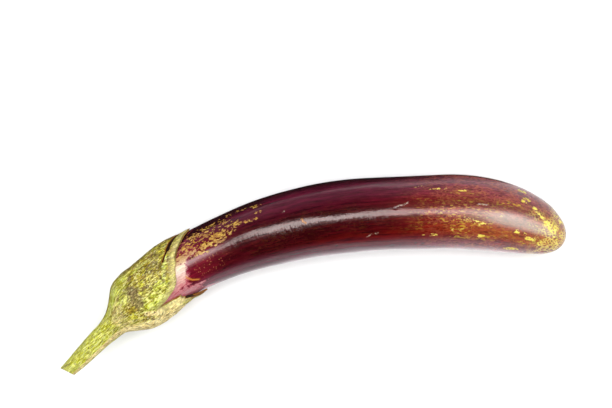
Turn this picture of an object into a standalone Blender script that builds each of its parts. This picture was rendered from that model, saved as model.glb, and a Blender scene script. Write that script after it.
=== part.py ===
"""A long purple eggplant lying on its side: fruit, calyx and cut stem.

Metres, +Z up.  +X points from the cut stem to the blossom end, +Y to the
outward side of the bend, and the eggplant lies on z = 0 with its bounding box
centred on the origin.  A place along it is its "run", the distance along the
centreline from the blossom tip.  An angle round it starts at the outward side
and rises over the top: 90 degrees is the top and 270 the underside.
"""

import math

import bmesh
import bpy
import numpy as np
from mathutils import Vector

COLLECTION = "eggplant"

# ---------------------------------------------------------------- dimensions
LENGTH = 0.309                      # blossom tip to cut stem along the centreline
TIP_PLACE = (0.1451, -0.0290)       # blossom tip in plan
# Bend in plan: (run, heading in degrees away from -X), turning evenly between.
BEND = ((0.000, -20.0), (0.014, -37.0), (0.035, -29.0), (0.070, -13.5), (0.110, -12.0),
        (0.150, -3.0), (0.205, 9.5), (0.262, 29.0), (0.309, 32.5))
# Height of the centreline: (run, height).
HEIGHT = ((0.000, 0.0142), (0.025, 0.0170), (0.050, 0.0200), (0.080, 0.0203),
          (0.130, 0.0202), (0.165, 0.0193), (0.205, 0.0182), (0.242, 0.0187),
          (0.275, 0.0205), (0.309, 0.0240))

# Fruit: a round body between two rounded ends.
FRUIT_RADIUS = ((0.065, 0.0208), (0.095, 0.0205), (0.130, 0.0205), (0.165, 0.0193),
                (0.205, 0.0170), (0.235, 0.0163), (0.262, 0.0160))
BLOSSOM_DOME = 0.065                # length of the rounded blossom end
BLOSSOM_POWER = 2.3                 # 2 would make it an ellipse, more is blunter
NECK_DOME = 0.024                   # length of the rounded end inside the calyx
FRUIT_END = 0.262                   # run where the fruit ends inside the calyx

# Calyx: a five-lobed cap, thin at its edge and solid behind the fruit.
FIT_GAP = 0.0004                    # calyx to fruit
LOBE_THICKNESS = 0.0008
CALYX_RADIUS = ((0.205, 0.0168), (0.226, 0.0180), (0.242, 0.0184), (0.252, 0.0180),
                (0.259, 0.0161), (0.264, 0.0123), (0.2705, 0.0077))
CALYX_BACK = 0.2705                 # run of the face that meets the stem
CALYX_SHIFT = 0.0010                # how far cap and stem sit towards the inner side
SHIFT_RUNS = (0.226, 0.244)         # where that shift grows from nothing to full
# Front edge, lobe tips and the notches between them: (angle, run).
CALYX_EDGE = ((-50, 0.238), (-24, 0.219), (5, 0.209), (28, 0.2125), (65, 0.2213),
              (100, 0.227), (117, 0.232), (133, 0.2445), (137, 0.231), (147, 0.229),
              (163, 0.2155), (180, 0.2240), (200, 0.240), (228, 0.216), (256, 0.240),
              (283, 0.214), (310, 0.238))
# One dried lobe tip curls away from the fruit.
CURL_ANGLE = 163
CURL_HALF_WIDTH = 24
CURL_START = 0.233
CURL_LENGTH = 0.024
CURL_LIFT = 0.0012

# Stem: tapers from a flared base to its cut end.
STEM_GAP = 0.0003                   # calyx to stem
STEM_RADIUS = ((0.2708, 0.0076), (0.277, 0.0060), (0.285, 0.0054), (0.293, 0.0051),
               (0.301, 0.0045), (0.309, 0.0036))

CUTTER_SIZE = (0.400, 0.200, 0.020)  # block that flattens the resting spot

# Mesh density.
LINE_STEP = 0.001                   # spacing of the stored centreline
RING_SPACING = 0.005                # along the plain body of the fruit
DOME_RINGS = 12
NECK_RINGS = 7
FRUIT_BEVEL = 14                    # gives 32 sides
STEM_BEVEL = 9                      # gives 22 sides
STEM_RINGS = 12
CALYX_COLUMNS = 72
CALYX_OUTER_ROWS = 13
CALYX_INNER_ROWS = 6
WELD = 1e-6


# ---------------------------------------------------------------- centreline
def smooth_value(table, place):
    """Value at a place, on a smooth curve through (place, value) pairs."""
    places = np.array([row[0] for row in table], dtype=float)
    values = np.array([row[1] for row in table], dtype=float)
    slopes = np.gradient(values, places)
    i = int(np.clip(np.searchsorted(places, place) - 1, 0, len(places) - 2))
    width = places[i + 1] - places[i]
    t = float(np.clip((place - places[i]) / width, 0.0, 1.0))
    start = (1 + 2 * t) * (1 - t) ** 2 * values[i] + t * t * (3 - 2 * t) * values[i + 1]
    bend = t * (1 - t) ** 2 * slopes[i] - t * t * (1 - t) * slopes[i + 1]
    return float(start + bend * width)


def plan_line():
    """Runs with the plan x and y of the centreline, from the arcs of BEND."""
    runs = np.arange(0.0, LENGTH + LINE_STEP / 2, LINE_STEP)
    middles = runs[:-1] + LINE_STEP / 2
    headings = np.radians(np.interp(middles, [row[0] for row in BEND], [row[1] for row in BEND]))
    x = TIP_PLACE[0] - np.concatenate(([0.0], np.cumsum(np.cos(headings)))) * LINE_STEP
    y = TIP_PLACE[1] - np.concatenate(([0.0], np.cumsum(np.sin(headings)))) * LINE_STEP
    return runs, x, y


RUNS, LINE_X, LINE_Y = plan_line()


def centre(run):
    """Point of the centreline at a run."""
    x = np.interp(run, RUNS, LINE_X)
    y = np.interp(run, RUNS, LINE_Y)
    return Vector((x, y, smooth_value(HEIGHT, run)))


def directions(run):
    """Outward and upward unit vectors across the centreline at a run."""
    before = centre(max(run - LINE_STEP, 0.0))
    after = centre(min(run + LINE_STEP, LENGTH))
    ahead = (after - before).normalized()
    outward = ahead.cross(Vector((0.0, 0.0, 1.0))).normalized()
    return outward, outward.cross(ahead)


def ramp(value, start, end):
    """0 before start, 1 after end, smooth between."""
    t = min(max((value - start) / (end - start), 0.0), 1.0)
    return t * t * (3 - 2 * t)


def shifted_centre(run):
    """Centre of the calyx and stem, which sit a little towards the inner side."""
    outward, _ = directions(run)
    return centre(run) - outward * CALYX_SHIFT * ramp(run, *SHIFT_RUNS)


# --------------------------------------------------------------- fruit shape
def rounded(distance, length, power=2.0):
    """Factor that rises from 0 at a pole to 1 at the end of a rounded end's length."""
    t = min(max(distance / length, 0.0), 1.0)
    return (1 - (1 - t) ** power) ** (1 / power)


def fruit_radius(run, extra=0.0):
    """Radius of the fruit, or of the hollow that is larger by extra all round."""
    body = smooth_value(FRUIT_RADIUS, run) + extra
    blossom = rounded(run, BLOSSOM_DOME, BLOSSOM_POWER)
    neck = rounded(FRUIT_END + extra - run, NECK_DOME)
    return body * blossom * neck


def neck_runs(end, count):
    """Runs over the rounded neck, evenly turned, stopping just short of its pole."""
    turns = [math.radians(86) * i / count for i in range(count + 1)]
    return [end - NECK_DOME + NECK_DOME * math.sin(turn) for turn in turns]


def fruit_runs():
    """Runs of the fruit's rings from the blossom tip to the neck's pole."""
    turns = [math.radians(3 + 87 * i / DOME_RINGS) for i in range(DOME_RINGS)]
    tip = [BLOSSOM_DOME * (1 - math.cos(turn)) for turn in turns]
    neck = neck_runs(FRUIT_END, NECK_RINGS)
    count = round((neck[0] - BLOSSOM_DOME) / RING_SPACING)
    body = np.linspace(BLOSSOM_DOME, neck[0], count, endpoint=False)
    return tip + list(body) + neck


# --------------------------------------------------------------- calyx shape
def calyx_curl(run, angle):
    """How far the curled lobe stands off the fruit."""
    across = 1 - min(abs(angle - CURL_ANGLE) / CURL_HALF_WIDTH, 1.0)
    along = ramp(CURL_START - run, 0.0, CURL_LENGTH)
    return CURL_LIFT * ramp(across, 0.0, 1.0) * along


def calyx_point(run, angle, inside):
    """Point on the inner or the outer surface of the calyx."""
    hollow = fruit_radius(run, FIT_GAP)
    outer = max(smooth_value(CALYX_RADIUS, run), hollow + LOBE_THICKNESS)
    outward, upward = directions(run)
    middle = centre(run) if inside else shifted_centre(run)
    reach = (hollow if inside else outer) + calyx_curl(run, angle)
    turn = math.radians(angle)
    return middle + (outward * math.cos(turn) + upward * math.sin(turn)) * reach


def calyx_profile(angle):
    """Points from the back face over the edge and along the hollow to its pole."""
    edge = float(np.interp(angle, [row[0] for row in CALYX_EDGE], [row[1] for row in CALYX_EDGE]))
    outer = np.linspace(CALYX_BACK, edge, CALYX_OUTER_ROWS)
    neck = neck_runs(FRUIT_END + FIT_GAP, NECK_RINGS)
    inner = np.linspace(edge, max(neck[0], edge + LINE_STEP), CALYX_INNER_ROWS, endpoint=False)
    points = [calyx_point(run, angle, inside=False) for run in outer]
    points += [calyx_point(run, angle, inside=True) for run in list(inner) + neck]
    return points


# ------------------------------------------------------------------ building
def clear_scene():
    """Remove every object, so that the script can be run again."""
    for obj in list(bpy.data.objects):
        bpy.data.objects.remove(obj)


def new_collection(name):
    """Collection in the scene for the parts or for the cutters."""
    collection = bpy.data.collections.new(name)
    bpy.context.scene.collection.children.link(collection)
    return collection


def new_material(name, colour, roughness):
    """Non-metallic Principled material."""
    material = bpy.data.materials.new(name)
    material.use_nodes = True
    shader = material.node_tree.nodes["Principled BSDF"]
    shader.inputs["Base Color"].default_value = (*colour, 1.0)
    shader.inputs["Roughness"].default_value = roughness
    shader.inputs["Metallic"].default_value = 0.0
    return material


def add_object(name, bm, collection, material):
    """Object from a finished bmesh, shaded smooth with its hard edges sharp."""
    bmesh.ops.recalc_face_normals(bm, faces=bm.faces)
    mesh = bpy.data.meshes.new(name)
    bm.to_mesh(mesh)
    bm.free()
    mesh.shade_smooth()
    mesh.set_sharp_from_angle(angle=math.radians(40))
    mesh.materials.append(material)
    obj = bpy.data.objects.new(name, mesh)
    collection.objects.link(obj)
    return obj


def tube_mesh(name, points, radii, bevel_resolution):
    """Bmesh of a curve through the points, with its own radius at each one."""
    curve = bpy.data.curves.new(name, "CURVE")
    curve.dimensions = "3D"
    curve.bevel_depth = 1.0
    curve.bevel_resolution = bevel_resolution
    curve.use_fill_caps = True
    spline = curve.splines.new("POLY")
    spline.points.add(len(points) - 1)
    for target, point, radius in zip(spline.points, points, radii):
        target.co = (*point, 1.0)
        target.radius = radius
    line = bpy.data.objects.new(name + "_line", curve)
    bpy.context.scene.collection.objects.link(line)
    evaluated = line.evaluated_get(bpy.context.evaluated_depsgraph_get())
    mesh = bpy.data.meshes.new_from_object(evaluated)
    bm = bmesh.new()
    bm.from_mesh(mesh)
    bmesh.ops.remove_doubles(bm, verts=bm.verts, dist=WELD)
    bpy.data.objects.remove(line)
    bpy.data.curves.remove(curve)
    bpy.data.meshes.remove(mesh)
    return bm


def make_ground_cutter(collection):
    """Block whose top is z = 0: it gives the fruit its flat resting spot."""
    bm = bmesh.new()
    bmesh.ops.create_cube(bm, size=1.0)
    bmesh.ops.scale(bm, vec=CUTTER_SIZE, verts=bm.verts)
    mesh = bpy.data.meshes.new("ground_cutter")
    bm.to_mesh(mesh)
    bm.free()
    cutter = bpy.data.objects.new("ground_cutter", mesh)
    cutter.location.z = -CUTTER_SIZE[2] / 2
    cutter.hide_render = True
    cutter.display_type = "WIRE"
    collection.objects.link(cutter)
    return cutter


def make_fruit(collection, cutter):
    """The fruit, one solid, with a small flat spot where it rests."""
    runs = fruit_runs()
    points = [centre(run) for run in runs]
    radii = [fruit_radius(run) for run in runs]
    bm = tube_mesh("fruit", points, radii, FRUIT_BEVEL)
    skin = new_material("fruit_skin", (0.085, 0.012, 0.024), 0.25)
    fruit = add_object("fruit", bm, collection, skin)
    cut = fruit.modifiers.new("resting_spot", "BOOLEAN")
    cut.operation = "DIFFERENCE"
    cut.solver = "EXACT"
    cut.object = cutter


def make_calyx(collection):
    """The lobed cap: a grid wrapped round the fruit's neck and closed at both ends."""
    first_angle = CALYX_EDGE[0][0]
    profiles = []
    for column in range(CALYX_COLUMNS + 1):
        angle = first_angle + 360 * column / CALYX_COLUMNS
        profiles.append(calyx_profile(angle))
    rows = len(profiles[0]) - 1
    bm = bmesh.new()
    bmesh.ops.create_grid(bm, x_segments=CALYX_COLUMNS, y_segments=rows, size=0.5)
    for vert in bm.verts:
        column = round((vert.co.x + 0.5) * CALYX_COLUMNS)
        row = round((vert.co.y + 0.5) * rows)
        vert.co = profiles[column][row]
    bmesh.ops.remove_doubles(bm, verts=bm.verts, dist=WELD)
    rims = [edge for edge in bm.edges if edge.is_boundary]
    bmesh.ops.holes_fill(bm, edges=rims, sides=0)
    add_object("calyx", bm, collection, new_material("calyx", (0.36, 0.36, 0.09), 0.6))


def make_stem(collection):
    """The peduncle, flared at the calyx and tapering to its cut end."""
    runs = np.linspace(CALYX_BACK + STEM_GAP, LENGTH, STEM_RINGS)
    points = [shifted_centre(run) for run in runs]
    radii = [smooth_value(STEM_RADIUS, run) for run in runs]
    bm = tube_mesh("stem", points, radii, STEM_BEVEL)
    add_object("stem", bm, collection, new_material("stem", (0.48, 0.47, 0.10), 0.6))


def main():
    clear_scene()
    parts = new_collection(COLLECTION)
    cutters = new_collection("cutters")
    make_fruit(parts, make_ground_cutter(cutters))
    make_calyx(parts)
    make_stem(parts)


main()
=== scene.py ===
"""Looks of a long purple eggplant: glossy mottled skin, leathery calyx, cut stem.

Metres, +Z up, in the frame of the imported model.  A place on the eggplant is
given by its run, the distance along the centreline from the blossom tip, and
by its angle round the centreline in degrees: 0 is the outward side of the
bend, 90 the top, 180 the inner side and 270 the underside.
"""

import math
from functools import partialmethod

import bpy
import numpy as np
from mathutils import Matrix, Vector, noise


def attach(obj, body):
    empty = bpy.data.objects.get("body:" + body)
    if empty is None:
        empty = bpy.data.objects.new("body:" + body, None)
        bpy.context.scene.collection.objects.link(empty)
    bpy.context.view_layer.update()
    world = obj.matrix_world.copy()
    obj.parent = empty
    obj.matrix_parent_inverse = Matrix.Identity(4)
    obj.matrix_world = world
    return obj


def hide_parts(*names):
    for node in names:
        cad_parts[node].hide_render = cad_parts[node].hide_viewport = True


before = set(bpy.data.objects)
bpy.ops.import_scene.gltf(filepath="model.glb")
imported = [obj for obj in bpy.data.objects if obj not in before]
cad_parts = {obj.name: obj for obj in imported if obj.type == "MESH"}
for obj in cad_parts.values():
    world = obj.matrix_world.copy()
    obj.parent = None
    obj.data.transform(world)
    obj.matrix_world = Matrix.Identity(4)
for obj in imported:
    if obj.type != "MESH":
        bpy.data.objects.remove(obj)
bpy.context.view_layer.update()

MM = 0.001
MEAN_RADIUS = 0.018
METRES_PER_DEGREE = MEAN_RADIUS * math.radians(1.0)

# ---- centreline, as in the CAD
LENGTH = 0.309
TIP_PLACE = (0.1451, -0.0290)
BEND = ((0.000, -20.0), (0.014, -37.0), (0.035, -29.0), (0.070, -13.5), (0.110, -12.0),
        (0.150, -3.0), (0.205, 9.5), (0.262, 29.0), (0.309, 32.5))
HEIGHT = ((0.000, 0.0142), (0.025, 0.0170), (0.050, 0.0200), (0.080, 0.0203),
          (0.130, 0.0202), (0.165, 0.0193), (0.205, 0.0182), (0.242, 0.0187),
          (0.275, 0.0205), (0.309, 0.0240))
LINE_STEP = 0.0005
STEM_HEADING = math.radians(BEND[-1][1])
STEM_RISE = 0.1

# ---- fruit shape
FRUIT_RADIUS = ((0.065, 0.0208), (0.095, 0.0205), (0.130, 0.0205), (0.165, 0.0193),
                (0.205, 0.0170), (0.235, 0.0163), (0.262, 0.0160))
BLOSSOM_DOME = 0.065
BLOSSOM_POWER = 2.3
NECK_DOME = 0.024
FRUIT_END = 0.262

# ---- calyx and stem shape
FIT_GAP = 0.0004
CAP_BACK = 0.2705
# Reach of calyx and stem from the centreline, to the outward and inner side.
REACH_OUTWARD = ((0.205, 0.0172), (0.212, 0.0176), (0.226, 0.0183), (0.242, 0.0170),
                 (0.252, 0.0168), (0.259, 0.0152), (0.264, 0.0113), (0.2705, 0.0069),
                 (0.277, 0.0050), (0.285, 0.0047), (0.293, 0.0042), (0.301, 0.0037),
                 (0.309, 0.0034))
REACH_INWARD = ((0.205, 0.0170), (0.212, 0.0172), (0.226, 0.0182), (0.242, 0.0200),
                (0.252, 0.0193), (0.259, 0.0170), (0.264, 0.0136), (0.2705, 0.0090),
                (0.277, 0.0078), (0.285, 0.0069), (0.293, 0.0065), (0.301, 0.0058),
                (0.309, 0.0046))


def smooth(table, place):
    """Values at places, on a smooth curve through (place, value) pairs."""
    places, values = np.array(table, dtype=float).T
    place = np.asarray(place, dtype=float)
    slopes = np.gradient(values, places)
    i = np.clip(np.searchsorted(places, place) - 1, 0, len(places) - 2)
    width = places[i + 1] - places[i]
    t = np.clip((place - places[i]) / width, 0.0, 1.0)
    level = (1 + 2 * t) * (1 - t) ** 2 * values[i] + t * t * (3 - 2 * t) * values[i + 1]
    bend = t * (1 - t) ** 2 * slopes[i] - t * t * (1 - t) * slopes[i + 1]
    return level + bend * width


def ramp(value, start, end):
    """0 before start, 1 after end, smooth between."""
    t = np.clip((np.asarray(value, dtype=float) - start) / (end - start), 0.0, 1.0)
    return t * t * (3 - 2 * t)


def plan_line():
    """Runs with the plan x and y of the centreline."""
    runs = np.arange(0.0, LENGTH + LINE_STEP / 2, LINE_STEP)
    middles = runs[:-1] + LINE_STEP / 2
    places, turns = np.array(BEND).T
    headings = np.radians(np.interp(middles, places, turns))
    x = TIP_PLACE[0] - np.concatenate(([0.0], np.cumsum(np.cos(headings)))) * LINE_STEP
    y = TIP_PLACE[1] - np.concatenate(([0.0], np.cumsum(np.sin(headings)))) * LINE_STEP
    return runs, x, y


RUNS, LINE_X, LINE_Y = plan_line()


def centre(run):
    """Points of the centreline, carried straight on past its ends."""
    inside = np.clip(run, 0.0, LENGTH)
    points = np.stack((np.interp(inside, RUNS, LINE_X), np.interp(inside, RUNS, LINE_Y),
                       smooth(HEIGHT, inside)), axis=-1)
    beyond = (np.asarray(run) - inside)[..., None]
    ahead = np.array((-math.cos(STEM_HEADING), -math.sin(STEM_HEADING), STEM_RISE))
    return points + beyond * ahead


def directions(run):
    """Outward and upward unit vectors across the centreline."""
    step = 2 * LINE_STEP
    ahead = centre(np.minimum(run + step, LENGTH)) - centre(np.clip(run - step, 0.0, LENGTH - step))
    ahead /= np.linalg.norm(ahead, axis=-1, keepdims=True)
    outward = np.cross(ahead, (0.0, 0.0, 1.0))
    outward /= np.linalg.norm(outward, axis=-1, keepdims=True)
    return outward, np.cross(outward, ahead)


def surface(run, angle, reach):
    """Points at a reach from the centreline in the direction of an angle."""
    outward, upward = directions(run)
    turn = np.radians(angle)[..., None]
    return centre(run) + (outward * np.cos(turn) + upward * np.sin(turn)) * reach[..., None]


def straight_place(run, angle, radius=MEAN_RADIUS):
    """Places on the eggplant if its centreline were straight, for grain and noise."""
    turn = np.radians(angle)
    return np.stack((run, radius * np.cos(turn), radius * np.sin(turn)), axis=-1)


def lumps(place, along, across, seed):
    """Smooth noise from about -1 to 1 with its own size along and across."""
    scaled = place.reshape(-1, 3) / np.array((along, across, across)) + 31.7 * seed
    values = np.array([noise.noise(row) for row in scaled.tolist()])
    return values.reshape(place.shape[:-1])


def turn_gap(angle, centre_angle):
    """Signed difference between angles, from -180 to 180 degrees."""
    return (np.asarray(angle) - centre_angle + 180.0) % 360.0 - 180.0


def spot(run, angle, at_run, at_angle, half_length, half_angle, edge=0.5):
    """1 inside an oval on the surface and 0 outside it, with a soft edge."""
    x = (run - at_run) / half_length
    y = turn_gap(angle, at_angle) / half_angle
    return 1.0 - ramp(np.sqrt(x * x + y * y), 1.0 - edge, 1.0 + edge)


def path_distance(run, angle, points):
    """Distance in metres, on the unrolled surface, to a line through (run, angle) points."""
    nearest = np.full(np.shape(run), 1.0)
    for (run_a, angle_a), (run_b, angle_b) in zip(points, points[1:]):
        dx, dy = run_b - run_a, (angle_b - angle_a) * METRES_PER_DEGREE
        x, y = run - run_a, turn_gap(angle, angle_a) * METRES_PER_DEGREE
        t = np.clip((x * dx + y * dy) / (dx * dx + dy * dy), 0.0, 1.0)
        nearest = np.minimum(nearest, np.hypot(x - t * dx, y - t * dy))
    return nearest


def strokes(run, angle, table):
    """1 on thin lines and 0 away from them: points, half width and, where given, strength."""
    most = np.zeros(np.shape(run))
    for points, half_width, *strength in table:
        away = ramp(path_distance(run, angle, points), half_width * 0.4, half_width * 1.6)
        most = np.maximum(most, math.prod(strength) * (1.0 - away))
    return most


# ---- mesh building
def new_object(name, data):
    """Object that holds data, in the scene."""
    made = bpy.data.objects.new(name, data)
    bpy.context.scene.collection.objects.link(made)
    return made


def add_mark(mesh, name, values):
    """One value a point, under a name that a material reads."""
    layer = mesh.attributes.new(name, "FLOAT", "POINT")
    layer.data.foreach_set("value", np.ascontiguousarray(values, dtype=float).reshape(-1))


def wrapped_mesh(name, points, marks, places, material):
    """Closed mesh from rings of points: rows of quads round it and two end caps."""
    rows, columns = points.shape[:2]
    index = np.arange(rows * columns).reshape(rows, columns)
    right = np.roll(index, -1, axis=1)
    quads = np.stack((index[:-1], index[1:], right[1:], right[:-1]), axis=-1).reshape(-1, 4)
    faces = quads.tolist() + [index[0].tolist(), index[-1][::-1].tolist()]
    mesh = bpy.data.meshes.new(name)
    mesh.from_pydata(points.reshape(-1, 3).tolist(), [], faces)
    mesh.update()
    mesh.shade_smooth()
    place = mesh.attributes.new("place", "FLOAT_VECTOR", "POINT")
    place.data.foreach_set("vector", places.reshape(-1))
    for mark, values in marks.items():
        add_mark(mesh, mark, values)
    add_map(mesh, rows, columns)
    mesh.materials.append(material)
    return new_object(name, mesh)


def add_map(mesh, rows, columns):
    """UV map unrolled along and round the piece, with both caps in its corners."""
    layer = mesh.uv_layers.new(name="unrolled")
    row, column = np.meshgrid(np.arange(rows - 1), np.arange(columns), indexing="ij")
    u = np.stack((row, row + 1, row + 1, row), axis=-1) / (rows - 1)
    v = np.stack((column, column, column + 1, column + 1), axis=-1) / columns
    sides = np.stack((0.02 + 0.97 * u, 0.01 + 0.95 * v), axis=-1).reshape(-1, 2)
    turn = 2 * math.pi * np.arange(columns) / columns
    caps = [np.stack((middle + 0.003 * np.cos(turn), 0.975 + 0.008 * np.sin(turn)), axis=-1)
            for middle in (0.004, 0.012)]
    layer.data.foreach_set("uv", np.concatenate((sides, *caps)).reshape(-1))


# ---- the fruit
FRUIT_COLUMNS = 250
FRUIT_TIP_ROWS = 108
FRUIT_BODY_ROWS = 254
FRUIT_NECK_ROWS = 26

# Yellow freckles in clusters: run, angle, half length, half width in degrees, density.
FRECKLES = (
    (0.2, 73, 0.007, 8, 0.96), (0.197, 66, 0.005, 8, 0.78), (0.203, 52, 0.005, 10, 0.48),
    (0.19, 62, 0.005, 9, 0.5), (0.185, 56, 0.004, 6, 0.4), (0.177, 61, 0.004, 3, 0.7),
    (0.173, 34, 0.004, 4, 0.6), (0.17, 50, 0.003, 3, 0.35), (0.185, 29, 0.007, 4, 0.42),
    (0.197, 36, 0.006, 4, 0.4), (0.209, 42, 0.005, 7, 0.48), (0.192, 44, 0.006, 6, 0.28),
    (0.208, 82, 0.005, 5, 0.62), (0.212, 58, 0.005, 9, 0.38),
    (0.0325, 28, 0.0026, 3, 1.2), (0.03, 46, 0.0024, 3, 1.15), (0.0325, 54, 0.0019, 2, 1.15),
    (0.0255, 58, 0.0016, 2, 1.1), (0.023, 65, 0.0018, 2, 1.2), (0.0195, 69, 0.002, 3, 1.2),
    (0.016, 75, 0.0022, 6, 1.2), (0.011, 79, 0.003, 13, 0.98), (0.032, 109, 0.0018, 3, 0.95),
    (0.0222, 116, 0.0032, 4, 1.2), (0.0155, 122, 0.0016, 5, 1.15), (0.027, 110, 0.0012, 3, 0.8),
    (0.031, 148, 0.0042, 4, 0.86), (0.0515, 126, 0.0022, 3, 0.95), (0.054, 106, 0.004, 4, 0.32),
    (0.06, 101, 0.003, 4, 0.26), (0.065, 118, 0.004, 3, 0.4), (0.08, 127, 0.004, 2, 0.5),
    (0.0755, 52, 0.0042, 1.3, 1.0), (0.0617, 56, 0.0026, 1.3, 0.7), (0.085, 47, 0.004, 2, 0.34),
    (0.006, 120, 0.005, 40, 0.26), (0.005, 155, 0.004, 30, 0.36),
    (0.008, 30, 0.006, 26, 0.3), (0.01, 215, 0.008, 25, 0.5), (0.024, 232, 0.006, 9, 0.6),
    (0.012, 300, 0.009, 22, 0.5), (0.038, 318, 0.009, 7, 0.45), (0.06, 205, 0.007, 4, 0.5),
    (0.18, 212, 0.01, 12, 0.55), (0.195, 326, 0.009, 10, 0.6), (0.202, 238, 0.007, 10, 0.45),
)
# Fine scratches and scars: (run, angle) points, half width.
PALE_SCRATCHES = (
    (((0.109, 120), (0.112, 121), (0.115, 125)), 0.00024),
    (((0.092, 74), (0.094, 77), (0.098, 79)), 0.00024),
    (((0.051, 76), (0.055, 76)), 0.00022),
    (((0.158, 63), (0.1583, 64)), 0.0003),
    (((0.083, 214), (0.09, 219), (0.094, 226)), 0.0004),
    (((0.132, 322), (0.141, 318)), 0.0004),
)
BROWN_SCARS = (
    (((0.2218, 108), (0.2213, 113), (0.2194, 121), (0.216, 127)), 0.00042),
    (((0.1475, 90), (0.1492, 86), (0.1495, 82)), 0.0003),
)
# Small round pits: run, angle, radius.
PITS = ((0.084, 148, 0.0009), (0.088, 145, 0.0007), (0.08, 157, 0.0006), (0.101, 150, 0.0009),
        (0.133, 138, 0.0007), (0.072, 97, 0.0006), (0.099, 82, 0.0006), (0.119, 236, 0.0008),
        (0.146, 301, 0.0007), (0.058, 262, 0.0008))
PIT_DEPTH = 0.12 * MM
# Gentle swellings, and one flatter place: run, angle, half length, half width in degrees, height.
SWELLINGS = ((0.16, 75, 0.02, 16, 0.00005), (0.184, 68, 0.016, 16, 0.00038),
             (0.098, 72, 0.018, 16, 0.0003), (0.16, 91, 0.016, 12, -0.00018))
BROAD_SWELL = 0.22 * MM
FINE_SWELL = 0.1 * MM
# Single places with colours of their own, one of them a painted highlight: run, angle, half length,
# half width, softness.
SKIN_PLACES = {
    "sparse": (0.202, 54, 0.014, 22, 0.7), "amber": (0.038, 114, 0.030, 13, 0.6),
    "painted_highlight": (0.034, 93, 0.026, 9, 0.7), "ember": (0.106, 131, 0.050, 14, 0.6),
    "dark_band": (0.062, 74, 0.036, 7, 0.6), "dots": (0.208, 106, 0.012, 18, 0.5),
    "ripple": (0.145, 98, 0.060, 11, 0.7),
}

# How far the pale skin reaches from the calyx: angle, distance.
BLUSH_REACH = ((0, 0.0020), (30, 0.0025), (50, 0.0030), (62, 0.0100), (75, 0.0145), (82, 0.0080),
               (100, 0.0085), (114, 0.0100), (123, 0.0130), (130, 0.0210), (140, 0.0160),
               (150, 0.0090), (180, 0.0060), (230, 0.0090), (300, 0.0090), (335, 0.0040),
               (360, 0.0020))
# Most that the pale skin can be: angle, share.
BLUSH_TOP = ((0, 0.06), (30, 0.10), (50, 0.20), (66, 0.28), (74, 0.56), (82, 0.45), (93, 1.20),
             (112, 1.20), (122, 0.66), (150, 0.60), (180, 0.60), (320, 0.60), (360, 0.06))


def rounded(distance, length, power=2.0):
    """Factor that rises from 0 at a pole to 1 at the end of a rounded end's length."""
    t = np.clip(np.asarray(distance, dtype=float) / length, 0.0, 1.0)
    return (1 - (1 - t) ** power) ** (1 / power)


def fruit_radius(run, extra=0.0):
    """Radius of the smooth fruit, or of a form larger by extra all round."""
    body = smooth(FRUIT_RADIUS, run) + extra
    blossom = rounded(run, BLOSSOM_DOME, BLOSSOM_POWER)
    return body * blossom * rounded(FRUIT_END + extra - run, NECK_DOME)


def fruit_runs():
    """Runs of the fruit's rings, closest together at its two ends."""
    tip = BLOSSOM_DOME * (1 - np.cos(np.linspace(0.02, math.pi / 2, FRUIT_TIP_ROWS)))
    neck_start = FRUIT_END - NECK_DOME
    body = np.linspace(BLOSSOM_DOME, neck_start, FRUIT_BODY_ROWS + 2)[1:-1]
    turns = np.radians(np.linspace(0.0, 87.0, FRUIT_NECK_ROWS))
    return np.concatenate((tip, body, neck_start + NECK_DOME * np.sin(turns)))


def make_fruit():
    """The fruit with its gentle dents, and marks that its material reads."""
    run, angle = np.meshgrid(fruit_runs(), 360.0 * np.arange(FRUIT_COLUMNS) / FRUIT_COLUMNS,
                             indexing="ij")
    radius = fruit_radius(run)
    place = straight_place(run, angle, radius)
    clear_of_calyx = 1 - ramp(run, 0.196, 0.208)
    swell = (BROAD_SWELL * lumps(place, 0.034, 0.020, 1)
             + FINE_SWELL * lumps(place, 0.013, 0.008, 2))
    pits = sum(spot(run, angle, at_run, at_angle, size, math.degrees(size / 0.020), 0.8)
               for at_run, at_angle, size in PITS)
    for at_run, at_angle, half_length, half_angle, height in SWELLINGS:
        away = ((run - at_run) / half_length) ** 2 + (turn_gap(angle, at_angle) / half_angle) ** 2
        swell += height * np.exp(-away)
    ends = ramp(run, 0.0, 0.012)
    radius = radius + ends * (clear_of_calyx * swell - PIT_DEPTH * pits)
    points = surface(run, angle, radius)
    points[..., 2] = np.maximum(points[..., 2], 0.0)

    freckle = [density * spot(run, angle, *oval, 0.45) for *oval, density in FRECKLES]
    edge = calyx_edge(angle)
    # Painted shadow: a dark line on the skin just in front of the calyx edge, on the outward side
    # and underneath.
    painted_contact_shadow = ramp(edge - run, 0.0008, 0.0) * np.interp(
        angle, (0, 68, 76, 188, 200, 360), (1, 1, 0, 0, 1, 1))
    tip_net = ramp(run, 0.024, 0.012) * np.interp(
        angle, (0, 55, 75, 150, 220, 360), (0.3, 0.5, 0.85, 0.85, 0.5, 0.3))
    marks = {
        "run": run / FRUIT_END,
        "outward": np.cos(np.radians(angle)) * 0.5 + 0.5,
        "freckle": np.max(freckle, axis=0),
        "scratch": strokes(run, angle, PALE_SCRATCHES),
        "scar": strokes(run, angle, BROWN_SCARS),
        "pit": np.clip(pits, 0.0, 1.0),
        "painted_contact_shadow": painted_contact_shadow,
        "blush": blush(run, angle, edge),
        "net": np.maximum(tip_net, 0.45 * spot(run, angle, 0.022, 68, 0.008, 11, 0.8)),
        **{name: spot(run, angle, *oval) for name, oval in SKIN_PLACES.items()},
    }
    piece = wrapped_mesh("fruit_skin", points, marks, place, skin_material())
    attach(piece, "root")
    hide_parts("fruit")


def blush(run, angle, edge):
    """1 where the skin meets the calyx, which shaded it, falling to 0 along the fruit."""
    reach, top = (np.interp(np.asarray(angle) % 360.0, *np.array(table).T)
                  for table in (BLUSH_REACH, BLUSH_TOP))
    return np.clip(1.2 - np.maximum(edge - run, 0.0) / reach, 0.0, top)


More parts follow.
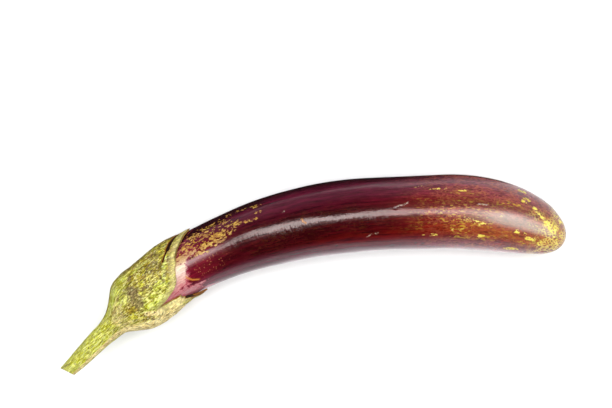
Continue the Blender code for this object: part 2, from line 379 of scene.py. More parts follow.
# ---- the calyx
CAP_COLUMNS = 300
CAP_OUTER_ROWS = 128
CAP_LIP_ROWS = 5
CAP_INNER_ROWS = 22
CAP_NECK_ROWS = 12
CROWDED_ANGLE = 135.0
# Front edge with its lobe tips and notches: (angle, run).
CALYX_EDGE = ((-50, 0.2380), (-44, 0.2300), (-24, 0.2190), (-4, 0.2118), (8, 0.2092),
              (18, 0.2100), (28, 0.2126), (40, 0.2150), (49, 0.2174), (57, 0.2195),
              (65, 0.2213), (76, 0.2231), (88, 0.2255), (101, 0.2273), (110, 0.2291),
              (117, 0.2321), (123, 0.2363), (128, 0.2405), (130.5, 0.2434), (132, 0.2438),
              (133.3, 0.2405), (134.4, 0.2372), (135.2, 0.2336), (136.5, 0.2304),
              (141, 0.2306), (147, 0.2290), (154, 0.2242), (159, 0.2194), (163.5, 0.2150),
              (170, 0.2178), (179, 0.2225), (188, 0.2290), (200, 0.2400), (228, 0.2160),
              (256, 0.2400), (283, 0.2140), (310, 0.2380))
CURL_ANGLE = 163
CURL_HALF_WIDTH = 26
CURL_START = 0.230
CURL_LENGTH = 0.009
CURL_LIFT = 0.0005
CURL_END = 0.015
RIB_ANGLES = (5, 68, 150, 228, 283)
RIB_WIDTH = 11.0
RIB_HEIGHT = 0.6 * MM
WRINKLE = 0.26 * MM
GRAIN = 0.14 * MM
CREASE = 0.22 * MM
KNOB = 0.40 * MM
LIP = 0.7 * MM
THINNEST = 0.25 * MM
CRACK_DEPTH = 0.8 * MM
EDGE_BULGE = 0.35 * MM
EDGE_JITTER = 0.35 * MM
EDGE_TAPER = (-0.5 * MM, 4.5 * MM)
# The split between the upper lobe and the next: (run, angle) points, half width.
CRACKS = (
    (((0.21, -6), (0.215, 4), (0.2175, 14), (0.2198, 26), (0.2234, 44)), 0.0011),
    (((0.2234, 44), (0.2258, 52), (0.2285, 62)), 0.0005),
)
# Stained, fresh, dried and scorched places: (run, angle) points, half width, strength. One fresh
# stroke is painted light, and the strongest scorched lines are painted shadow.
BRUISES = (
    (((0.2512, 74), (0.2522, 88), (0.2528, 98)), 0.0036, 1.0),
    (((0.229, 68), (0.237, 76), (0.245, 80), (0.258, 66)), 0.0062, 0.56),
    (((0.244, 139), (0.248, 141)), 0.0016, 0.9),
    (((0.23, 40), (0.2345, 56), (0.239, 66)), 0.0034, 0.7),
    (((0.231, 84), (0.234, 93)), 0.0012, 0.9),
    (((0.2475, 43), (0.2487, 51)), 0.0011, 1.0),
    (((0.2515, 149), (0.2525, 158)), 0.0018, 0.9),
    (((0.2515, 132), (0.2525, 141)), 0.0013, 0.8),
    (((0.22, 4), (0.24, 8), (0.25, 10)), 0.0036, 0.75),
    (((0.264, 88), (0.266, 96)), 0.0016, 0.55),
    (((0.236, 232), (0.25, 226)), 0.004, 0.6),
    (((0.23, 285), (0.246, 280)), 0.004, 0.6),
    (((0.24, 325), (0.258, 335)), 0.005, 0.5),
    (((0.3045, 75), (0.3085, 40)), 0.0014, 0.8),
    (((0.2995, 58), (0.3005, 62)), 0.0007, 1.0),
    (((0.2838, 74), (0.2846, 77)), 0.0006, 1.0),
    (((0.302, 100), (0.3026, 105)), 0.0006, 1.0),
)
FRESH_AND_LIT = (
    (((0.237, 108), (0.246, 113)), 0.0075, 0.86),
    (((0.2262, 58), (0.229, 71), (0.2325, 88)), 0.0011, 1.0),
    (((0.255, 56), (0.259, 76)), 0.0042, 0.7),
    # This stroke on the outward shoulder is painted light, brightening a slope that turns away from
    # the light.
    (((0.254, 26), (0.26, 36), (0.268, 42)), 0.006, 0.95),
    (((0.2366, 37), (0.245, 40)), 0.0011, 0.8),
    (((0.244, 320), (0.23, 318)), 0.006, 0.6),
    (((0.242, 255), (0.26, 255)), 0.006, 0.5),
)
DRIED = (
    (((0.264, 72), (0.269, 95), (0.267, 122)), 0.005, 0.45),
    (((0.238, 168), (0.244, 163), (0.256, 156), (0.268, 150)), 0.007, 0.8),
    (((0.246, 136), (0.253, 122)), 0.0016, 0.8),
    (((0.2315, 141), (0.239, 148)), 0.0042, 0.6),
    (((0.274, 146), (0.306, 152)), 0.004, 0.95),
    (((0.224, 230), (0.24, 228)), 0.005, 0.7),
    (((0.221, 285), (0.236, 283)), 0.0045, 0.6),
)
# Scorched lines: faint ones are dried brown; the strongest turn near-black, painted shadow under the
# curled lobe.
SCORCHED_AND_SHADED = (
    (((0.2285, 149), (0.225, 154.5)), 0.0007, 1.0),
    (((0.2244, 155.5), (0.22, 160.5), (0.2155, 165)), 0.0016, 0.54),
    (((0.2345, 135.3), (0.2318, 136.5)), 0.0003, 0.5),
    (((0.2385, 178), (0.2392, 180)), 0.0005, 0.9),
    (((0.218, 226), (0.22, 229)), 0.0014, 0.7),
    (((0.2165, 281), (0.2185, 284)), 0.0012, 0.7),
)


def calyx_edge(angle):
    """Run of the calyx's front edge at each angle."""
    angles, runs = np.array(CALYX_EDGE).T
    return np.interp((np.asarray(angle) - angles[0]) % 360.0 + angles[0], angles, runs)


def cap_reach(run, angle, place):
    """Reach of the outer surface of calyx and stem, with ribs and wrinkles."""
    inner_side = (1 - np.cos(np.radians(angle))) / 2
    reach = (1 - inner_side) * smooth(REACH_OUTWARD, run) + inner_side * smooth(REACH_INWARD, run)
    cap = 1 - ramp(run, 0.258, 0.276)
    ribs = np.zeros_like(run)
    for rib in RIB_ANGLES:
        ribs = np.maximum(ribs, np.exp(-(turn_gap(angle, rib) / RIB_WIDTH) ** 2))
    strength = RIB_HEIGHT * ramp(run, 0.212, 0.236) * (1 - 0.5 * ramp(run, 0.262, 0.285))
    reach = reach + strength * (ribs - 0.5)
    wrinkle = WRINKLE * lumps(place, 0.0065, 0.0030, 11)
    grain = GRAIN * lumps(place, 0.0026, 0.0012, 12)
    crease = CREASE * np.exp(-(lumps(place, 0.0100, 0.0028, 14) / 0.07) ** 2)
    knobs = KNOB * np.maximum(lumps(place, 0.0048, 0.0048, 13) - 0.18, 0.0)
    return (reach + wrinkle * (0.45 + 0.55 * cap) + grain * (0.6 + 0.4 * cap)
            - crease * (0.5 + 0.5 * cap) + knobs * (0.4 + 0.6 * cap))


def curl(run, angle):
    """How far the dried lobe tip stands off the fruit."""
    across = ramp(1 - np.abs(turn_gap(angle, CURL_ANGLE)) / CURL_HALF_WIDTH, 0.0, 0.8)
    ahead = CURL_START - run
    lifted = ramp(ahead, 0.0, CURL_LENGTH) - 0.6 * ramp(ahead, CURL_LENGTH, CURL_END)
    return CURL_LIFT * across * lifted


def cap_marks(run, angle, from_edge, crack, inside):
    """Marks for the calyx and stem material, as one value a point each."""
    # Where the dark edge shows, by angle: partly dried brown, partly painted shade where the cap
    # sits on the fruit.
    rim_and_shade_share = np.interp(np.asarray(angle) % 360.0, (0, 66, 78, 126, 134, 146, 175, 360),
                          (1, 1, 0.2, 0.1, 0.8, 0.6, 0.8, 1))
    return {
        "bruise": strokes(run, angle, BRUISES),
        "fresh_and_lit": strokes(run, angle, FRESH_AND_LIT),
        "dry": strokes(run, angle, DRIED),
        # The crack between the lobes is darkened through this mark too: painted shadow in the split.
        "scorch_and_shade": np.maximum(strokes(run, angle, SCORCHED_AND_SHADED), crack),
        "rim": ramp(from_edge, 0.0007, 0.0002) * rim_and_shade_share,
        "margin": ramp(from_edge, 0.0050, 0.0015),
        "flank": np.clip(np.cos(np.radians(angle)), 0.0, 1.0),
        "inside": inside,
        "stemward": ramp(run, 0.262, 0.282),
    }


def column_angles():
    """Angles of the calyx's columns, closest together beside the steep notch."""
    fine = np.linspace(0.0, 360.0, 3601)
    crowding = 1.0 + 3.0 * np.exp(-((fine - CROWDED_ANGLE) / 5.0) ** 2)
    share = np.concatenate(([0.0], np.cumsum((crowding[1:] + crowding[:-1]) / 2)))
    return np.interp(np.arange(CAP_COLUMNS) / CAP_COLUMNS, share / share[-1], fine)


def make_calyx():
    """The lobed cap: outer surface, thin lip and the hollow that holds the fruit."""
    angles = column_angles()
    ring = straight_place(np.full(CAP_COLUMNS, 0.22), angles)
    edge = calyx_edge(angles) + EDGE_JITTER * lumps(ring, 1.0, 0.0016, 21)
    neck_start = FRUIT_END + FIT_GAP - NECK_DOME
    turns = np.radians(np.linspace(0.0, 86.0, CAP_NECK_ROWS))[:, None]
    neck = neck_start + NECK_DOME * np.sin(turns) + np.zeros(CAP_COLUMNS)
    inner_end = np.maximum(edge + 0.0005, neck_start)
    outer_run = np.linspace(CAP_BACK, edge, CAP_OUTER_ROWS, endpoint=False)
    inner_run = np.linspace(edge, inner_end, CAP_INNER_ROWS, endpoint=False)
    neck = np.maximum(neck, inner_end)

    lip_run = np.tile(edge, (CAP_LIP_ROWS, 1))
    run = np.concatenate((outer_run, lip_run, inner_run, neck))
    angle = np.broadcast_to(angles, run.shape)
    place = straight_place(run, angle)
    hollow = fruit_radius(run, FIT_GAP) + curl(run, angle)
    from_edge = path_distance(run, angle, [(at_run, at_angle) for at_angle, at_run in CALYX_EDGE])
    taper = ramp(from_edge, *EDGE_TAPER)
    crack = strokes(run, angle, CRACKS)
    outer = np.maximum(cap_reach(run, angle, place), hollow + LIP)
    outer = hollow + LIP + (outer - hollow - LIP) * taper + 0.7 * curl(run, angle)
    outer = np.maximum(outer - CRACK_DEPTH * crack, hollow + THINNEST)

    sheet = np.clip((np.arange(len(run)) - CAP_OUTER_ROWS + 0.5) / CAP_LIP_ROWS, 0.0, 1.0)
    sheet = sheet[:, None]
    reach = outer + (hollow - outer) * sheet
    points = surface(run - EDGE_BULGE * np.sin(math.pi * sheet), angle, reach)
    points[..., 2] = np.maximum(points[..., 2], 0.0)
    inside = np.broadcast_to(sheet, run.shape)
    marks = cap_marks(run, angle, from_edge, crack, inside)
    piece = wrapped_mesh("calyx_cap", points, marks, place, cap_material("calyx_leather"))
    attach(piece, "root")
    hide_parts("calyx")


# ---- the stem
STEM_COLUMNS = 150
STEM_ROWS = 140
STEM_ROOT = 0.2690
ROOT_TUCK = 0.4 * MM
CUT_SLANT = 1.2 * MM
CUT_BACK = 0.6 * MM
CUT_DISH = 0.35 * MM
CUT_RINGS = 0.10 * MM
CUT_JITTER = 0.15 * MM
CUT_ROWS = 14
CUT_HEART = 0.06


def make_stem():
    """The cut stalk, flared at the calyx, ribbed, with a slanting fibrous cut."""
    angles = 360.0 * np.arange(STEM_COLUMNS) / STEM_COLUMNS
    ring = straight_place(np.full(STEM_COLUMNS, 0.3), angles)
    end = LENGTH - CUT_BACK + CUT_SLANT * np.cos(np.radians(angles))
    end = end + CUT_JITTER * lumps(ring, 1.0, 0.005, 31)
    t = np.linspace(0.0, 1.0, STEM_ROWS)[:, None]
    run = STEM_ROOT + (end - STEM_ROOT) * t
    angle = np.broadcast_to(angles, run.shape)
    place = straight_place(run, angle)
    reach = cap_reach(run, angle, place)
    reach = reach - ROOT_TUCK * (1 - ramp(run, 0.2695, 0.2712))
    points = surface(run, angle, reach)

    share = np.linspace(1.0, CUT_HEART, CUT_ROWS + 1)[1:, None, None]
    dish = CUT_DISH * (1 - share ** 4) + CUT_RINGS * np.sin(share * 19.0)
    back = np.array((math.cos(STEM_HEADING), math.sin(STEM_HEADING), 0.0))
    middle, middle_place = points[-1].mean(axis=0), place[-1].mean(axis=0)
    cut_points = middle + (points[-1] - middle) * share + back * dish
    cut_places = middle_place + (place[-1] - middle_place) * share
    points = np.concatenate((points, cut_points))
    place = np.concatenate((place, cut_places))
    run = np.concatenate((run, np.tile(run[-1], (CUT_ROWS, 1))))
    angle = np.broadcast_to(angles, run.shape)
    cut = np.append(np.zeros(STEM_ROWS - 1), np.linspace(0.3, 1.0, CUT_ROWS + 1))
    none = np.zeros_like(run)
    marks = cap_marks(run, angle, none + 1.0, none, none)
    marks["cut"] = none + cut[:, None]
    piece = wrapped_mesh("stem_stalk", points, marks, place, cap_material("stem_stalk"))
    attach(piece, "root")
    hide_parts("stem")


# ---- materials
class Graph:
    """Node tree of a material or a world, with short calls for the nodes used here."""

    def __init__(self, owner, shader="Principled BSDF"):
        owner.use_nodes = True
        self.tree = owner.node_tree
        self.shader = self.tree.nodes[shader]
        self.base = None

    def add(self, kind, inputs=(), **settings):
        """New node with its settings; inputs maps a socket to a value or a link."""
        node = self.tree.nodes.new(kind)
        for name, value in settings.items():
            setattr(node, name, value)
        for socket, value in dict(inputs).items():
            self.put(node.inputs[socket], value)
        return node

    def put(self, socket, value):
        if isinstance(value, bpy.types.NodeSocket):
            self.tree.links.new(value, socket)
        else:
            socket.default_value = value

    def mark(self, name):
        return self.add("ShaderNodeAttribute", attribute_name=name).outputs["Fac"]

    def vector(self, operation, *inputs):
        """Result of a vector operation on its inputs, in their order."""
        node = self.add("ShaderNodeVectorMath", dict(enumerate(inputs)), operation=operation)
        return node.outputs[0]

    def place(self, along, across):
        """The straightened place, scaled along and across the eggplant."""
        place = self.add("ShaderNodeAttribute", attribute_name="place").outputs["Vector"]
        return self.vector("MULTIPLY", place, (along, across, across))

    def noise(self, size_along, size_across, detail=2.0, roughness=0.5, distortion=0.0):
        """Noise whose lumps have their own size in metres along and across."""
        place = self.place(1 / size_along, 1 / size_across)
        inputs = {"Vector": place, "Scale": 1.0, "Detail": detail, "Roughness": roughness,
                  "Distortion": distortion}
        return self.add("ShaderNodeTexNoise", inputs).outputs["Fac"]

    def cells(self, size_along, size_across, shift=0.0, feature="F1", warp=0.0):
        """Voronoi cells with their own size along and across, bent by noise."""
        place = self.place(1 / size_along, 1 / size_across)
        if warp:
            bend = self.add("ShaderNodeTexNoise", {"Vector": place, "Scale": 0.6, "Detail": 2.0})
            place = self.vector("MULTIPLY_ADD", bend.outputs["Color"], (warp,) * 3, place)
        inputs = {"Vector": self.vector("ADD", place, (shift,) * 3), "Scale": 1.0}
        return self.add("ShaderNodeTexVoronoi", inputs, feature=feature)

    def chance(self, cells, channel="Red"):
        """Random number of each cell."""
        split = self.add("ShaderNodeSeparateColor", {"Color": cells.outputs["Color"]})
        return split.outputs[channel]

    def math(self, operation, first, second):
        return self.add("ShaderNodeMath", {0: first, 1: second}, operation=operation).outputs[0]

    times = partialmethod(math, "MULTIPLY")
    plus = partialmethod(math, "ADD")
    minus = partialmethod(math, "SUBTRACT")
    most = partialmethod(math, "MAXIMUM")

    def step(self, value, low, high):
        """0 below low and 1 above high, smooth between."""
        inputs = {"Value": value, "From Min": low, "From Max": high}
        node = self.add("ShaderNodeMapRange", inputs, interpolation_type="SMOOTHSTEP")
        return node.outputs["Result"]

    def spread(self, value, low, high, at_low, at_high):
        """Value from low to high brought to another range, in a straight line."""
        inputs = {"Value": value, "From Min": low, "From Max": high, "To Min": at_low,
                  "To Max": at_high}
        return self.add("ShaderNodeMapRange", inputs).outputs["Result"]

    def shade(self, colour, factor):
        """Colour made darker or lighter by a factor."""
        node = self.add("ShaderNodeVectorMath", {0: colour, "Scale": factor}, operation="SCALE")
        return node.outputs[0]

    def mix(self, share, first, second):
        """Colour that goes from first to second as share goes from 0 to 1."""
        node = self.add("ShaderNodeMix", data_type="RGBA", clamp_factor=True)
        self.put(node.inputs["Factor"], share)
        for socket, value in ((node.inputs[6], first), (node.inputs[7], second)):
            self.put(socket, (*value, 1.0) if isinstance(value, tuple) else value)
        return node.outputs[2]

    def lay(self, share, colour, strength=None):
        """Lay a colour over the base where share is 1, up to a strength."""
        if strength is not None:
            share = self.times(share, strength)
        self.base = self.mix(share, self.base, colour)

    def colours(self, value, stops):
        """Colour ramp through (position, colour) stops."""
        node = self.add("ShaderNodeValToRGB", {"Fac": value})
        ramp_data = node.color_ramp
        while len(ramp_data.elements) < len(stops):
            ramp_data.elements.new(0.5)
        for element, (position, colour) in zip(ramp_data.elements, stops):
            element.position = position
            element.color = (*colour, 1.0)
        return node.outputs["Color"]

    def bump(self, height, distance, below=None):
        inputs = {"Height": height, "Distance": distance, "Strength": 1.0}
        if below is not None:
            inputs["Normal"] = below
        return self.add("ShaderNodeBump", inputs).outputs["Normal"]


# Colour of the skin by run, as linear colours: (run, colour).
SKIN_COLOURS = (
    (0.0, (0.3, 0.13, 0.055)), (0.012, (0.27, 0.095, 0.028)), (0.026, (0.17, 0.036, 0.026)),
    (0.045, (0.145, 0.02, 0.016)), (0.062, (0.138, 0.013, 0.008)), (0.08, (0.112, 0.005, 0.0018)),
    (0.1, (0.058, 0.0016, 0.0024)), (0.12, (0.032, 0.0008, 0.002)),
    (0.145, (0.022, 0.0007, 0.0016)), (0.175, (0.027, 0.001, 0.0022)),
    (0.195, (0.042, 0.0014, 0.0038)), (0.21, (0.105, 0.0035, 0.011)),
)
# Colour of the pale skin by its side: half the cosine of its angle plus a half.
BLUSH_COLOURS = (
    (0.0, (0.32, 0.13, 0.16)), (0.22, (0.48, 0.2, 0.2)), (0.34, (0.59, 0.37, 0.31)),
    (0.44, (0.66, 0.5, 0.42)), (0.52, (0.58, 0.45, 0.28)), (0.66, (0.43, 0.26, 0.095)),
    (0.78, (0.3, 0.14, 0.05)), (1.0, (0.16, 0.05, 0.03)),
)


def skin_ground(g, run, side, flank, rusty):
    """Colour that changes along the fruit, plum flanks that are partly a painted sheen, and painted
    shadow on the outward side.
    """
    wobble = g.times(g.minus(g.noise(0.03, 0.006, 3.0), 0.5), 0.16)
    g.base = g.colours(g.plus(run, wobble),
                       [(place / FRUIT_END, colour) for place, colour in SKIN_COLOURS])
    # Plum on both flanks: partly the skin's own tone, partly a painted sheen where the sides turn
    # away from the light above.
    plum = g.mix(rusty, (0.07, 0.0045, 0.018), (0.115, 0.024, 0.04))
    g.lay(flank, plum, 0.85)
    # Painted shadow: the outward side darkened to near-black plum, reaching further round towards
    # the neck and less at the blossom end.
    turned = g.plus(side, g.times(g.step(run, 0.6, 0.8), 0.07))
    painted_shadow = g.times(g.step(turned, 0.9, 0.98), g.minus(0.95, rusty))
    g.lay(painted_shadow, (0.014, 0.001, 0.0034))


def skin_grain(g, fibres, rusty):
    """Dark and light tufts and fibres; gives the fine speckle and the long streaks."""
    broad = g.noise(0.016, 0.0026, 4.0, 0.65)
    tufts = g.noise(0.003, 0.0009, 3.0, 0.65)
    dark_share = g.minus(0.35, g.times(rusty, 0.1))
    shadow = g.mix(rusty, (0.034, 0.002, 0.0036), (0.09, 0.011, 0.011))
    for pattern in (broad, tufts):
        g.lay(g.step(pattern, 0.53, 0.66), shadow, dark_share)
    light_share = g.plus(0.04, g.times(rusty, 0.3))
    g.lay(g.step(tufts, 0.47, 0.33), (0.28, 0.07, 0.03), light_share)
    g.lay(g.step(fibres, 0.46, 0.32), (0.3, 0.085, 0.03), g.times(light_share, 0.8))

    speckle = g.spread(g.noise(0.0022, 0.0008, 2.0, 0.6), 0.33, 0.67, 0.52, 1.55)
    streak = g.spread(g.noise(0.012, 0.0013, 3.0, 0.6), 0.33, 0.67, 0.62, 1.42)
    tip_speckle = g.add("ShaderNodeMix", {"Factor": rusty, 2: 1.0, 3: speckle}).outputs[0]
    g.base = g.shade(g.base, g.times(streak, tip_speckle))
    return speckle, streak


def skin_lace(g, run, flank):
    """Net of rose threads and small ochre flecks, mostly near the blossom end."""
    tipward = g.step(run, 0.38, 0.2)
    threads = g.cells(0.0026, 0.0013, 9.0, "DISTANCE_TO_EDGE", 1.4).outputs["Distance"]
    lace = g.times(g.step(threads, 0.15, 0.03), g.step(g.noise(0.006, 0.003), 0.4, 0.58))
    g.lay(lace, (0.3, 0.08, 0.04), g.times(tipward, 0.75))

    chance = g.chance(g.cells(0.0014, 0.0006))
    zone = g.times(g.step(g.noise(0.018, 0.006), 0.4, 0.62), g.step(flank, 0.95, 0.35))
    zone = g.times(zone, g.plus(0.02, g.times(tipward, 0.98)))
    tint = g.mix(g.step(chance, 0.8, 0.92), (0.32, 0.12, 0.02), (0.52, 0.36, 0.03))
    g.lay(g.times(g.step(chance, 0.68, 0.72), zone), tint, 0.75)


def skin_patches(g, speckle, streak):
    """Broad places that are darker, redder or more amber than the rest, and a pale painted highlight
    on top of the blossom end.
    """
    # Darker crimson band beside the top, towards the outward side of the blossom half.
    g.lay(g.mark("dark_band"), (0.07, 0.005, 0.0045), 0.6)
    g.lay(g.mark("ember"), (0.12, 0.0045, 0.001), g.spread(streak, 0.55, 1.5, 0.0, 0.6))
    g.lay(g.mark("amber"), (0.27, 0.052, 0.009), g.spread(speckle, 0.52, 1.55, 0.1, 0.8))
    # Painted highlight: pale beige patch on top of the blossom end, under the glossy one.
    g.lay(g.mark("painted_highlight"), (0.26, 0.18, 0.13), 0.55)


def skin_blush(g, side):
    """Pale skin beside the calyx, with a rose border and a ragged streaked edge."""
    pale = g.mark("blush")
    streaks = g.minus(g.noise(0.006, 0.0009, 3.0, 0.65), 0.5)
    blotches = g.minus(g.noise(0.0022, 0.0014, 3.0, 0.65), 0.5)
    off_top = g.most(g.step(side, 0.52, 0.62), g.step(side, 0.28, 0.18))
    unruly = g.plus(0.55, g.times(off_top, 1.2))
    uneven = g.plus(pale, g.times(g.plus(streaks, blotches), unruly))
    uneven = g.minus(uneven, g.times(g.step(streaks, 0.04, 0.16), 0.28))
    uneven = g.times(uneven, g.step(pale, 0.005, 0.1))
    rose = g.mix(g.step(side, 0.46, 0.3), (0.16, 0.008, 0.03), (0.33, 0.06, 0.08))
    g.lay(g.step(uneven, 0.02, 0.26), rose)

    grain = g.spread(g.noise(0.003, 0.0006, 3.0, 0.7), 0.35, 0.65, 0.7, 1.22)
    colour = g.shade(g.colours(side, BLUSH_COLOURS), grain)
    rosy = g.times(g.step(g.noise(0.004, 0.0009, 3.0, 0.7), 0.5, 0.6),
                   g.spread(side, 0.18, 0.42, 0.8, 0.12))
    colour = g.mix(rosy, colour, (0.42, 0.085, 0.1))
    g.lay(g.step(uneven, 0.24, 0.46), colour, 0.92)


def skin_freckles(g, run):
    """Ragged yellow freckles in their clusters, and sparse ochre grains; gives the freckles."""
    wanted = g.mark("freckle")
    cell = g.cells(0.0013, 0.0008, 0.0, "F1", 0.8)
    ragged = g.times(g.minus(g.noise(0.0022, 0.0009, 3.0, 0.7), 0.5), 1.3)
    density = g.plus(g.times(wanted, 0.72), ragged)
    freckles = g.times(g.step(g.minus(density, g.chance(cell)), -0.04, 0.06),
                       g.step(wanted, 0.02, 0.15))
    neckward = g.step(run, 0.12, 0.45)
    bright = g.mix(neckward, (0.8, 0.73, 0.095), (0.5, 0.315, 0.045))
    dull = g.mix(neckward, (0.56, 0.42, 0.016), (0.24, 0.088, 0.013))
    grains = g.minus(g.times(g.mark("sparse"), 0.2), g.chance(g.cells(0.0009, 0.0006, 2.0)))
    g.lay(g.step(grains, 0.0, 0.02), (0.36, 0.19, 0.022), 0.8)
    g.lay(freckles, g.mix(g.chance(cell, "Green"), bright, dull), 0.94)
    return freckles


def skin_net(g, fibres):
    """Yellow corky network over the blossom end, and brown dots at the neck."""
    loops = g.cells(0.0019, 0.0017, 5.0, "DISTANCE_TO_EDGE").outputs["Distance"]
    loops = g.plus(loops, g.times(g.minus(fibres, 0.5), 0.3))
    share = g.times(g.mark("net"), g.step(g.noise(0.004, 0.0034, 2.0), 0.36, 0.54))
    g.lay(g.times(g.step(loops, 0.15, 0.06), share), (0.7, 0.58, 0.13), 0.85)

    dot = g.cells(0.0013, 0.0012, 3.0)
    dots = g.times(g.step(dot.outputs["Distance"], 0.36, 0.2), g.step(g.chance(dot), 0.34, 0.4))
    g.lay(dots, (0.44, 0.15, 0.06), g.times(g.mark("dots"), 0.45))


def skin_scars(g, run):
    """Scratches, scars, pits, the painted shadow line in front of the calyx edge and the blossom
    scar.
    """
    scratch = g.times(g.mark("scratch"), g.step(g.noise(0.001, 0.001, 2.0), 0.4, 0.52))
    scar = g.mark("scar")
    g.lay(scratch, (0.42, 0.33, 0.26), 0.75)
    g.lay(scar, (0.44, 0.16, 0.014))
    g.lay(g.mark("pit"), (0.022, 0.004, 0.008), 0.85)
    # Painted shadow in front of the calyx edge.
    g.lay(g.mark("painted_contact_shadow"), (0.03, 0.006, 0.006), 0.85)
    g.lay(g.step(run, 0.0055, 0.0015), (0.17, 0.1, 0.045))
    return g.most(scratch, scar)


def skin_material():
    """Thin waxy skin: plum to red-brown, fine fibres, yellow freckles, pale neck."""
    material = bpy.data.materials.new("eggplant_skin")
    g = Graph(material)
    run, side = g.mark("run"), g.mark("outward")
    flank = g.most(g.step(side, 0.55, 0.9), g.step(side, 0.26, 0.08))
    rusty = g.minus(1.0, g.step(run, 0.21, 0.42))
    fibres = g.noise(0.007, 0.0006, 3.0, 0.65)
    skin_ground(g, run, side, flank, rusty)
    speckle, streak = skin_grain(g, fibres, rusty)
    skin_lace(g, run, flank)
    skin_patches(g, speckle, streak)
    skin_blush(g, side)
    freckles = skin_freckles(g, run)
    skin_net(g, fibres)
    raised = g.most(freckles, skin_scars(g, run))
    g.put(g.shader.inputs["Base Color"], g.base)

    haze = g.times(g.minus(1.0, g.step(run, 0.1, 0.42)), 0.16)
    cloud = g.times(g.noise(0.012, 0.003, 3.0), 0.08)
    rough = g.plus(0.085, g.plus(haze, g.plus(cloud, g.times(raised, 0.22))))
    g.put(g.shader.inputs["Roughness"], rough)
    g.shader.inputs["IOR"].default_value = 1.46

    ripple = g.times(g.noise(0.0011, 0.004, 2.0), g.mark("ripple"))
    normal = g.bump(fibres, 0.00002)
    normal = g.bump(g.noise(0.005, 0.0022, 2.0), 0.00005, normal)
    normal = g.bump(ripple, 0.0002, normal)
    g.put(g.shader.inputs["Normal"], g.bump(raised, 0.00004, normal))
    return material


def cap_ground(g, mottle, fibre, fresh_and_lit, stemward, brown_share):
    """Mottled yellow-green tissue, brighter on greener places, one of them painted light on a shaded
    slope, and on the stalk, with brown fibres.
    """
    # The dark end of this ramp falls in the low places of the mottle bump: partly the tissue's
    # mottling, partly painted shade in the hollows.
    g.base = g.colours(mottle, [(0.34, (0.08, 0.046, 0.004)), (0.44, (0.24, 0.18, 0.01)),
                                (0.52, (0.4, 0.35, 0.018)), (0.61, (0.64, 0.61, 0.09))])
    bright = g.colours(mottle, [(0.34, (0.2, 0.19, 0.008)), (0.44, (0.42, 0.45, 0.026)),
                                (0.6, (0.66, 0.73, 0.22))])
    stalk = g.colours(mottle, [(0.34, (0.15, 0.125, 0.005)), (0.43, (0.45, 0.44, 0.016)),
                               (0.52, (0.64, 0.67, 0.05)), (0.6, (0.8, 0.82, 0.32))])
    g.lay(fresh_and_lit, bright)
    g.lay(stemward, stalk)
    g.lay(g.step(fibre, 0.53, 0.68), (0.135, 0.078, 0.022), brown_share)
    patch = g.times(g.step(g.noise(0.01, 0.006), 0.47, 0.58), brown_share)
    g.lay(patch, (0.215, 0.135, 0.018), 0.7)
    g.lay(g.step(g.noise(0.006, 0.003, 2.0), 0.5, 0.62), (0.31, 0.37, 0.012), 0.28)
    rosy_share = g.times(brown_share, g.spread(stemward, 0.0, 1.0, 0.85, 0.25))
    g.lay(g.step(g.noise(0.005, 0.0026, 3.0), 0.48, 0.36), (0.25, 0.135, 0.04), rosy_share)


def cap_pores(g, brown_share):
    """Brown hollows between pale threads; gives the hollows."""
    rims = g.cells(0.003, 0.0012, 7.0, "DISTANCE_TO_EDGE", 1.6).outputs["Distance"]
    chance = g.chance(g.cells(0.003, 0.0012, 7.0, "F1", 1.6))
    hollow = g.times(g.step(rims, 0.04, 0.2), g.step(chance, 0.3, 0.85))
    g.lay(hollow, (0.11, 0.072, 0.008), brown_share)
    threads = g.times(g.step(rims, 0.12, 0.03), g.step(g.noise(0.004, 0.004, 2.0), 0.42, 0.58))
    g.lay(threads, (0.64, 0.6, 0.22), 0.8)
    return hollow


def cap_stains_and_shade(g, mottle, fine, fibre, stemward):
    """Bruised and dried places with ragged edges, and painted shade darkening the outward flank."""
    bruise, dry = g.mark("bruise"), g.mark("dry")
    blotch = g.plus(g.times(fine, 0.5), g.times(mottle, 0.5))
    stain = g.plus(bruise, g.times(g.minus(0.5, blotch), 3.2))
    stain = g.times(g.step(stain, 0.35, 0.95), g.step(bruise, 0.05, 0.35))
    stained = g.mix(g.step(fine, 0.4, 0.6), (0.085, 0.056, 0.03), (0.23, 0.165, 0.075))
    g.lay(stain, stained, 0.85)
    parched = g.plus(dry, g.times(g.minus(fibre, 0.5), 1.5))
    parched = g.times(g.step(parched, 0.25, 0.75), g.step(dry, 0.04, 0.3))
    straw = g.colours(mottle, [(0.32, (0.36, 0.23, 0.07)), (0.45, (0.6, 0.46, 0.18)),
                               (0.62, (0.8, 0.7, 0.36))])
    g.lay(parched, straw)
    # Painted shade: the outward flank of the cap darkened, less so on the stalk.
    flank_shade_share = g.minus(0.48, g.times(stemward, 0.35))
    g.lay(g.step(g.mark("flank"), 0.86, 0.99), (0.125, 0.08, 0.01), flank_shade_share)


def cap_specks(g):
    """Fine light and dark grain, and scattered pale and dark specks."""
    grain = g.noise(0.0021, 0.0009, 2.0, 0.6)
    g.base = g.shade(g.base, g.spread(grain, 0.33, 0.67, 0.5, 1.5))
    speck = g.cells(0.0019, 0.0013)
    chance = g.chance(speck)
    core = g.step(speck.outputs["Distance"], 0.46, 0.24)
    g.lay(g.times(core, g.step(chance, 0.8, 0.84)), (0.56, 0.55, 0.28), 0.5)
    g.lay(g.times(core, g.step(chance, 0.2, 0.16)), (0.06, 0.032, 0.01), 0.8)


